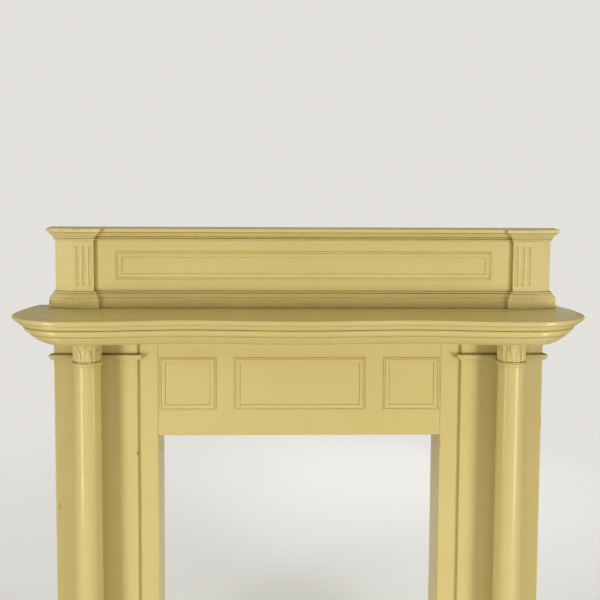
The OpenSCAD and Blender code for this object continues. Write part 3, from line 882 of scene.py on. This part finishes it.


# %% Astragals
# The first points darken the quirk and ledge at the top of the bead strongly: painted shade under the shelf,
# with some dirt.
astragal_section = (
    [(0.8, 0, 1.8), (0.8, 2.8, 2.0), (4.0, 3.2, 1.8), (8.6, 3.8, 0.8)]
    + smooth([(10.0, 4.0, 0.1), (13.0, 5.6, 0), (14.0, 8.2, 0), (12.9, 11.0, 0), (10.2, 12.6, 0.1)], 4)
    + [(8.6, 12.9, 0.4), (8.6, 13.8, 0.4)]
    + smooth([(9.2, 14.2, 0.1), (9.4, 16.0, 0), (8.8, 18.0, 0), (6.6, 19.8, 0), (5, 21, 0.3)], 3))
for word, side in (("left", -1), ("right", 1)):
    pil_in, pil_out = sorted((side * low("pilaster_" + word).x, side * high("pilaster_" + word).x))
    for part in ("inner", "outer"):
        node = "astragal_" + word + "_" + part
        a, b = low(node), high(node)
        near, far_x = sorted((side * a.x, side * b.x))
        if part == "inner":
            line = [(pil_in, LEG_FACE), (pil_in, PILASTER_FACE), (far_x, PILASTER_FACE)]
        else:
            line = [(near, PILASTER_FACE), (pil_out, PILASTER_FACE), (pil_out, LEG_FACE)]
        rings, dirt_and_shade = [], []
        for q, drop, g in astragal_section:
            plan = list(offset_line(line, q * MM)) + [Vector(p) for p in reversed(line)]
            rings.append([(side * p.x, p.y, b.z - drop * MM) for p in plan])
            dirt_and_shade.append(max(0.0, g))
        loft("neck_bead_" + word + "_" + part, rings, dirt_and_shade, LEVEL, [node])

# %% [markdown]
# ## Panels
# A panel on this piece is nothing more than a thin moulding planted on the flat board as a frame. Its
# section has a small bead at the outside, a quirk beside it, and a long slope that falls to the field.
# Four copies of the section stand at the four mitres, and skinning from one to the next closes the frame.

# %% Panel maker
# Third values darken the quirk and the inner step of the frame: dirt and painted shade.
panel_section = (
    [(0, 0.0, 0.3), (0, 0.25, 0.1)]
    + smooth([(0.02, 0.50, 0.0), (0.07, 0.84, 0), (0.14, 0.98, 0), (0.21, 0.88, 0), (0.26, 0.60, 0.1)], 3)
    + [(0.275, 0.40, 0.5), (0.31, 0.38, 0.5)]
    + smooth([(0.33, 0.60, 0.1), (0.40, 0.82, 0), (0.50, 0.84, 0), (0.64, 0.72, 0), (0.80, 0.60, 0),
              (0.92, 0.56, 0.1)], 3)
    + [(0.94, 0.10, 0.6), (1.0, 0.0, 0.7)])


def panel(name, node, width):
    """A frame of moulding of the given width; section points are shares of its width and thickness."""
    a, b = low(node), high(node)
    rise = b.y - a.y
    faces, verts, dirt_and_shade = [], [], []
    count = len(panel_section)
    for cx, cz in ((0, 0), (1, 0), (1, 1), (0, 1)):
        for s, h, g in panel_section:
            x = a.x + s * width if cx == 0 else b.x - s * width
            z = a.z + s * width if cz == 0 else b.z - s * width
            verts.append((x, b.y - h * rise, z))
            dirt_and_shade.append(max(0.0, g))
    for k in range(4):
        for i in range(count):
            j = (i + 1) % count
            faces.append((k * count + i, k * count + j, (k + 1) % 4 * count + j, (k + 1) % 4 * count + i))
    finish_piece(name, verts, faces, dirt_and_shade, LEVEL, [node], crisp=28)


for word in ("left", "centre", "right"):
    panel("frieze_frame_" + word, "frieze_panel_" + word, PANEL_WIDTH["frieze"])
panel("over_frame", "overmantel_panel_moulding", PANEL_WIDTH["overmantel"])

# %% [markdown]
# ## The overmantel
# The low back piece has a plain field between two end blocks. Each block stands a little forward, carries
# three flutes, and then turns back towards the wall in a canted face. Base and crown follow every one of
# those turns, so their outline is the same line of faces moved outwards, level by level.

# %% Overmantel outline
over_centre = (low("overmantel_base").x + high("overmantel_base").x) / 2
block_low, block_high = low("end_block_right"), high("end_block_right")
FIELD = low("overmantel_board").y
BLOCK_IN, BLOCK_OUT = block_low.x - over_centre, block_high.x - over_centre
BLOCK_FACE = block_low.y
CANT_START, CANT_FACE = BLOCK_OUT - 60 * MM, BLOCK_FACE + 17 * MM
half_line = [(0, FIELD), (BLOCK_IN, FIELD), (BLOCK_IN, BLOCK_FACE), (CANT_START, BLOCK_FACE),
             (BLOCK_OUT, CANT_FACE), (BLOCK_OUT, WALL)]


def over_outline(q):
    half = offset_line(half_line, q)[1:]
    return [(over_centre - p.x, p.y) for p in reversed(half)] + [(over_centre + p.x, p.y) for p in half]


def over_piece(name, node, section, foot):
    """Lofts a section of (distance out, rise, grime with painted shade), stretched to the reach of the CAD
    piece.
    """
    stretch = (high(node).x - block_high.x) / (max(q for q, _, _ in section) * MM)
    rings = [[(x, y, foot + rise * MM) for x, y in over_outline(q * stretch * MM)] for q, rise, _ in section]
    dirt_and_shade = [max(0.0, g) for _, _, g in section]
    loft(name, rings, dirt_and_shade, LEVEL, [node], crisp=28, corners=True)


# %% Base, crown and cap
# Third values darken the quirks of base, crown and cap: dirt and painted shade.
base_section = (
    [(15.4, 0, 1.0), (16, 0.8, 0.4), (16, 3.0, 0), (16, 31.4, 0), (15.4, 32.3, 0.2), (13.6, 32.7, 0.9),
     (13.4, 33.4, 0.6)]
    + smooth([(13.6, 34.0, 0.1), (13.4, 36.6, 0), (11.2, 40.0, 0), (8.6, 42.8, 0), (7.4, 45.2, 0.1)], 3)
    + [(5.0, 45.8, 0.9), (5.0, 46.6, 0.9)]
    + smooth([(5.6, 46.8, 0.2), (6.8, 47.8, 0), (6.9, 49.6, 0), (5.6, 51.0, 0.2)], 3)
    + [(3.6, 51.4, 0.7), (3.6, 52.5, 0.9)])
over_piece("over_base", "overmantel_base", base_section, low("overmantel_base").z)
crown_section = (
    [(2.4, 0, 0.6)]
    + smooth([(3.6, 0.4, 0.1), (5.0, 1.8, 0), (5.0, 3.8, 0), (3.6, 5.2, 0.2)], 3)
    + [(2.6, 5.6, 0.9), (2.8, 6.3, 0.8), (6.0, 6.6, 0.1), (6.2, 10.0, 0), (5.2, 10.4, 0.8), (5.4, 11.4, 0.8)]
    + smooth([(7.4, 11.8, 0.1), (9.4, 13.6, 0), (11.0, 16.6, 0), (13.2, 20.0, 0), (15.6, 22.6, 0),
              (16.2, 24.4, 0.1)], 3)
    + [(14.6, 24.8, 0.9), (14.6, 25.5, 0.9)])
over_piece("over_crown", "overmantel_crown", crown_section, low("overmantel_crown").z)
cap_section = (
    [(15.0, 0, 0.8), (18.4, 0.2, 0.2)]
    + smooth([(19.0, 0.5, 0), (19.8, 1.6, 0), (20, 3.4, 0)], 3)
    + smooth([(20, 9.0, 0), (19.7, 10.8, 0), (18.6, 11.8, 0), (17.6, 12, 0)], 3) + [(12.0, 12, 0.2)])
over_piece("over_cap", "overmantel_cap", cap_section, low("overmantel_cap").z)

# %% [markdown]
# ## Fluted blocks
# Flutes are scooped with a round-nosed cutter that is lowered into the wood, run down and lifted out, so
# each has round ends. The same cutter works here: a block, three long capsules, and a boolean difference.


# %% Cutter maker
def capsule(centre, radius, z1, z2, sides=48, rounds=10):
    """A cutter with round ends along Z."""
    stack = [(-90 + 90 * i / rounds, z1) for i in range(1, rounds + 1)]
    stack += [(90 * i / rounds, z2) for i in range(rounds)]
    verts, faces = [], []
    for angle, z in stack:
        a = math.radians(angle)
        verts += circle(centre, radius * math.cos(a), z + radius * math.sin(a), sides)
    count = len(stack)
    for k in range(count - 1):
        for i in range(sides):
            a, b = k * sides + i, k * sides + (i + 1) % sides
            faces.append((a, b, b + sides, a + sides))
    verts += [(centre.x, centre.y, z1 - radius), (centre.x, centre.y, z2 + radius)]
    foot, head = len(verts) - 2, len(verts) - 1
    for i in range(sides):
        j = (i + 1) % sides
        faces.append((foot, j, i))
        faces.append((head, (count - 1) * sides + i, (count - 1) * sides + j))
    return solid_object("cutter", verts, faces)


# %% Cut the flutes
FLUTE_WIDTH, FLUTE_DEPTH, FLUTE_PITCH, FLUTE_MARGIN = 11 * MM, 4 * MM, 19.5 * MM, 18 * MM
# Flutes darken with their depth: painted shade in the hollows, with some dirt.
FLUTE_DIRT_AND_SHADE = 0.15
flute_radius = (FLUTE_DEPTH ** 2 + FLUTE_WIDTH ** 2 / 4) / (2 * FLUTE_DEPTH)
for word, side in (("left", -1), ("right", 1)):
    z1, z2 = block_low.z, block_high.z
    plan = [(BLOCK_IN, WALL), (BLOCK_IN, BLOCK_FACE)] + half_line[3:]
    plan = [(over_centre + side * x, y) for x, y in plan]
    count = len(plan)
    verts = [(x, y, z1) for x, y in plan] + [(x, y, z2) for x, y in plan]
    faces = [tuple(range(count)), tuple(reversed(range(count, 2 * count)))]
    faces += [(i, (i + 1) % count, (i + 1) % count + count, i + count) for i in range(count)]
    block = solid_object("block_blank_" + word, verts, faces)
    soften = block.modifiers.new("soften", "BEVEL")
    soften.width, soften.segments = 1.0 * MM, 2
    cutters = []
    for i in range(3):
        x = over_centre + side * ((BLOCK_IN + CANT_START) / 2 + (i - 1) * FLUTE_PITCH)
        middle = Vector((x, BLOCK_FACE + FLUTE_DEPTH - flute_radius, 0))
        reach = FLUTE_MARGIN + FLUTE_WIDTH / 2
        cutters.append(capsule(middle, flute_radius, z1 + reach, z2 - reach))
        cut = block.modifiers.new("flute", "BOOLEAN")
        cut.operation, cut.solver, cut.object = "DIFFERENCE", "EXACT", cutters[-1]
    graph = bpy.context.evaluated_depsgraph_get()
    carved = block.evaluated_get(graph).to_mesh()
    verts = [v.co.copy() for v in carved.vertices]
    faces = [tuple(p.vertices) for p in carved.polygons]
    for thing in cutters + [block]:
        bpy.data.objects.remove(thing)
    # The deeper in a flute a point lies, the darker it is painted: painted shade with some dirt.
    depths = [(v.y - BLOCK_FACE) / FLUTE_DEPTH for v in verts]
    dirt_and_shade = [FLUTE_DIRT_AND_SHADE * min(1.0, max(0.0, depth)) if depth < 1.02 else 0.0 for depth in depths]
    finish_piece("fluted_block_" + word, verts, faces, dirt_and_shade, UPRIGHT, ["end_block_" + word], crisp=12)

# %% [markdown]
# ## Dirt and painted shade in the corners, wear on the edges
# Dust gathers where air doesn't move and dusters don't reach, and shade falls in the same places. To find
# them, the script stands on each point of every mesh and looks round in fixed directions: the more of them
# that end on paint within a finger's width, the darker the point, as dirt and as painted shade together.
# Wear is the opposite. An edge that sticks out has all its neighbours behind it, so the average slope down
# to them tells how exposed a point is. Both are stored on the mesh, and the enamel reads them.

# %% Fixed directions
LOOKS, REACH = 26, 16 * MM
GOLDEN = math.pi * (3 - math.sqrt(5))
directions = []
for i in range(LOOKS):
    z = 1 - 2 * (i + 0.5) / LOOKS
    across = math.sqrt(1 - z * z)
    directions.append(Vector((across * math.cos(GOLDEN * i), across * math.sin(GOLDEN * i), z)))
all_verts, all_faces = [], []
for piece in PIECES:
    start = len(all_verts)
    all_verts += [v.co.copy() for v in piece.data.vertices]
    all_faces += [tuple(start + i for i in face.vertices) for face in piece.data.polygons]
tree_of_paint = BVHTree.FromPolygons(all_verts, all_faces)
print(len(all_verts), "points in", len(PIECES), "pieces")


# %% Settle dirt and painted shade, rub edges
STAND_OFF, GRAZING = 0.4 * MM, 0.15
SHUT_FROM, SHUT_SPAN, GIVEN_SHARE, FOUND_SHARE = 0.28, 0.55, 0.5, 0.75
EXPOSED_FROM, EXPOSED_GAIN = 0.10, 3.2


def settle_dirt_and_shade(piece):
    """Fills the grime values, dirt with painted shade, and the wear values of a piece."""
    mesh = piece.data
    given = mesh.attributes.get("grime_and_shade")
    base = [0.0] * len(mesh.vertices)
    if given is not None:
        given.data.foreach_get("value", base)
    else:
        given = mesh.attributes.new("grime_and_shade", "FLOAT", "POINT")
    rise, count = [0.0] * len(base), [0] * len(base)
    places = [v.co.copy() for v in mesh.vertices]
    normals = [v.normal.copy() for v in mesh.vertices]
    for edge in mesh.edges:
        i, j = edge.vertices
        step = places[j] - places[i]
        length = step.length
        if length > 1e-7:
            rise[i] -= normals[i].dot(step) / length
            rise[j] += normals[j].dot(step) / length
            count[i] += 1
            count[j] += 1
    grime_and_shade, wear = [], []
    for i, place in enumerate(places):
        normal = normals[i]
        out = place + normal * STAND_OFF
        seen = hits = 0.0
        for look in directions:
            facing = look.dot(normal)
            if facing > GRAZING:
                seen += facing
                if tree_of_paint.ray_cast(out, look, REACH)[0] is not None:
                    hits += facing
        shut = hits / seen if seen else 0.0
        # The more closed in a point is, the darker it is painted: dirt and painted shade from one value.
        closed = min(1.0, max(0.0, (shut - SHUT_FROM) / SHUT_SPAN))
        grime_and_shade.append(min(1.0, GIVEN_SHARE * base[i] + FOUND_SHARE * closed * closed))
        exposed = rise[i] / max(1, count[i])
        wear.append(min(1.0, max(0.0, (exposed - EXPOSED_FROM) * EXPOSED_GAIN)) * (1 - closed))
    given.data.foreach_set("value", grime_and_shade)
    mesh.attributes.new("wear", "FLOAT", "POINT").data.foreach_set("value", wear)


for piece in PIECES:
    settle_dirt_and_shade(piece)
print("dirt and wear on", len(PIECES), "pieces")

# %% [markdown]
# ## Measure and finish
# Painted detail must not make the object bigger than the joiner's frame. The last cell measures both
# boxes and prints the largest difference between them.

# %% Sizes
new_low, new_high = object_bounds()
pairs = zip([*cad_low, *cad_high], [*new_low, *new_high])
print("largest difference", round(max(abs(a - b) for a, b in pairs) / MM, 2), "mm")
